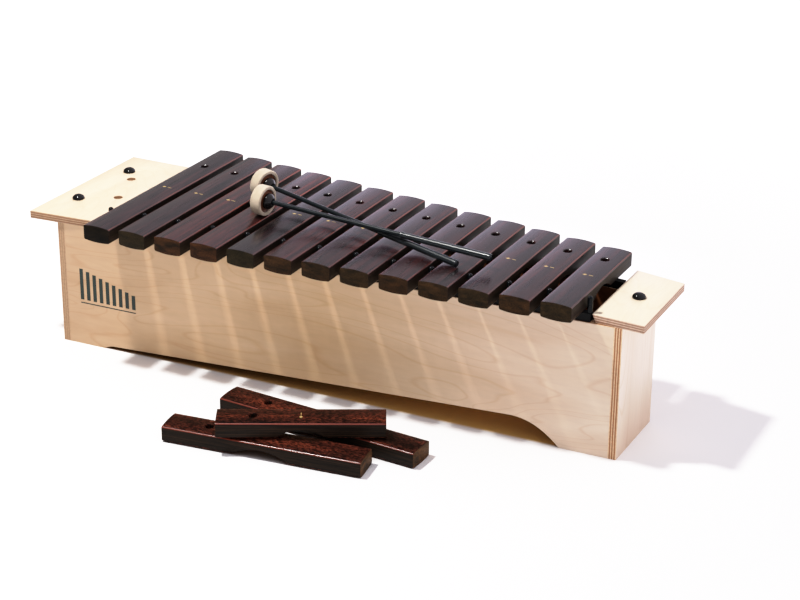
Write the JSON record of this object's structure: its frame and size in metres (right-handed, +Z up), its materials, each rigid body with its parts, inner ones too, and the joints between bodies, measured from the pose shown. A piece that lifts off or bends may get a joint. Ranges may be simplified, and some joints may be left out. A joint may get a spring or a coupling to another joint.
{
  "type": "box xylophone",
  "caption": "Tapered plywood resonator box with a diatonic row of rosewood bars on pins, two mallets lying on the bars and loose exchange bars beside it.",
  "frame": {"origin": "centre of the whole set's footprint at floor level", "axes": "+X along the row from the bass end to the treble end, +Y from the player to the rear, +Z up"},
  "size_m": [0.6446, 0.336, 0.1871],
  "materials": {
    "birch_ply": "clear-varnished birch plywood, warm tan with faint figure",
    "birch_plate": "clear-varnished birch plywood, pale cream",
    "black_knob": "high gloss black",
    "cushion_rubber": "matt black",
    "pin_sleeve": "satin black sleeve",
    "rosewood": "satin oiled dark rosewood",
    "rosewood_exchange": "satin reddish rosewood with dark flecks",
    "mallet_felt": "dense cream felt",
    "mallet_core": "polished reddish brown",
    "mallet_hub": "glossy black",
    "mallet_shaft": "satin black fibreglass",
    "mallet_grip": "smooth glossy black sleeve"
  },
  "bodies": {
    "box": {"end_panel_bass": "birch_ply", "end_panel_treble": "birch_ply", "side_panel_front": "birch_ply", "side_panel_rear": "birch_ply", "resonator_floor": "birch_ply", "end_plate_bass": "birch_plate", "end_plate_treble": "birch_plate", "knob_bass_near": "black_knob", "knob_bass_far": "black_knob", "knob_treble": "black_knob", "cushion_rail_front": "cushion_rubber", "cushion_rail_rear": "cushion_rubber", "rear_pin_strip": "pin_sleeve", "front_pin_01": "pin_sleeve", "front_pin_02": "pin_sleeve", "front_pin_03": "pin_sleeve", "front_pin_04": "pin_sleeve", "front_pin_05": "pin_sleeve", "front_pin_06": "pin_sleeve", "front_pin_07": "pin_sleeve", "front_pin_08": "pin_sleeve", "front_pin_09": "pin_sleeve", "front_pin_10": "pin_sleeve", "front_pin_11": "pin_sleeve", "front_pin_12": "pin_sleeve", "front_pin_13": "pin_sleeve", "front_pin_14": "pin_sleeve"},
    "bar_01": {"bar_01": "rosewood"},
    "bar_02": {"bar_02": "rosewood"},
    "bar_03": {"bar_03": "rosewood"},
    "bar_04": {"bar_04": "rosewood"},
    "bar_05": {"bar_05": "rosewood"},
    "bar_06": {"bar_06": "rosewood"},
    "bar_07": {"bar_07": "rosewood"},
    "bar_08": {"bar_08": "rosewood"},
    "bar_09": {"bar_09": "rosewood"},
    "bar_10": {"bar_10": "rosewood"},
    "bar_11": {"bar_11": "rosewood"},
    "bar_12": {"bar_12": "rosewood"},
    "bar_13": {"bar_13": "rosewood"},
    "mallet_lower": {"mallet_lower_ring": "mallet_felt", "mallet_lower_core": "mallet_core", "mallet_lower_hub": "mallet_hub", "mallet_lower_shaft": "mallet_shaft", "mallet_lower_grip": "mallet_grip"},
    "mallet_upper": {"mallet_upper_ring": "mallet_felt", "mallet_upper_core": "mallet_core", "mallet_upper_hub": "mallet_hub", "mallet_upper_shaft": "mallet_shaft", "mallet_upper_grip": "mallet_grip"},
    "spare_bar_front": {"spare_bar_front": "rosewood_exchange"},
    "spare_bar_back": {"spare_bar_back": "rosewood_exchange"},
    "spare_bar_top": {"spare_bar_top": "rosewood_exchange"}
  },
  "joints": [
    {"name": "bar_01_lift", "type": "slide", "parent": "box", "child": "bar_01", "axis": [0, 0, 1], "range_m": [0, 0.05]},
    {"name": "bar_02_lift", "type": "slide", "parent": "box", "child": "bar_02", "axis": [0, 0, 1], "range_m": [0, 0.05]},
    {"name": "bar_03_lift", "type": "slide", "parent": "box", "child": "bar_03", "axis": [0, 0, 1], "range_m": [0, 0.05]},
    {"name": "bar_04_lift", "type": "slide", "parent": "box", "child": "bar_04", "axis": [0, 0, 1], "range_m": [0, 0.05]},
    {"name": "bar_05_lift", "type": "slide", "parent": "box", "child": "bar_05", "axis": [0, 0, 1], "range_m": [0, 0.05]},
    {"name": "bar_06_lift", "type": "slide", "parent": "box", "child": "bar_06", "axis": [0, 0, 1], "range_m": [0, 0.05]},
    {"name": "bar_07_lift", "type": "slide", "parent": "box", "child": "bar_07", "axis": [0, 0, 1], "range_m": [0, 0.05]},
    {"name": "bar_08_lift", "type": "slide", "parent": "box", "child": "bar_08", "axis": [0, 0, 1], "range_m": [0, 0.05]},
    {"name": "bar_09_lift", "type": "slide", "parent": "box", "child": "bar_09", "axis": [0, 0, 1], "range_m": [0, 0.05]},
    {"name": "bar_10_lift", "type": "slide", "parent": "box", "child": "bar_10", "axis": [0, 0, 1], "range_m": [0, 0.05]},
    {"name": "bar_11_lift", "type": "slide", "parent": "box", "child": "bar_11", "axis": [0, 0, 1], "range_m": [0, 0.05]},
    {"name": "bar_12_lift", "type": "slide", "parent": "box", "child": "bar_12", "axis": [0, 0, 1], "range_m": [0, 0.05]},
    {"name": "bar_13_lift", "type": "slide", "parent": "box", "child": "bar_13", "axis": [0, 0, 1], "range_m": [0, 0.05]},
    {"name": "mallet_lower_lift", "type": "slide", "parent": "box", "child": "mallet_lower", "axis": [0, 0, 1], "range_m": [0, 0.12]},
    {"name": "mallet_upper_lift", "type": "slide", "parent": "mallet_lower", "child": "mallet_upper", "axis": [0, 0, 1], "range_m": [0, 0.1]},
    {"name": "spare_bar_top_lift", "type": "slide", "parent": "box", "child": "spare_bar_top", "axis": [0, 0, 1], "range_m": [0, 0.1]},
    {"name": "spare_bar_front_lift", "type": "slide", "parent": "box", "child": "spare_bar_front", "axis": [0, 0, 1], "range_m": [0, 0.05]},
    {"name": "spare_bar_back_lift", "type": "slide", "parent": "box", "child": "spare_bar_back", "axis": [0, 0, 1], "range_m": [0, 0.05]}
  ],
  "couplings": [
    {"joint": "bar_03_lift", "follows": "mallet_lower_lift", "ratio": 0.4},
    {"joint": "bar_04_lift", "follows": "mallet_lower_lift", "ratio": 0.4},
    {"joint": "bar_05_lift", "follows": "mallet_lower_lift", "ratio": 0.4},
    {"joint": "bar_06_lift", "follows": "mallet_lower_lift", "ratio": 0.4},
    {"joint": "bar_07_lift", "follows": "mallet_lower_lift", "ratio": 0.4},
    {"joint": "bar_08_lift", "follows": "mallet_lower_lift", "ratio": 0.4},
    {"joint": "bar_09_lift", "follows": "mallet_lower_lift", "ratio": 0.4},
    {"joint": "bar_10_lift", "follows": "mallet_lower_lift", "ratio": 0.4},
    {"joint": "bar_11_lift", "follows": "mallet_lower_lift", "ratio": 0.4},
    {"joint": "spare_bar_front_lift", "follows": "spare_bar_top_lift", "ratio": 0.5},
    {"joint": "spare_bar_back_lift", "follows": "spare_bar_top_lift", "ratio": 0.5}
  ]
}
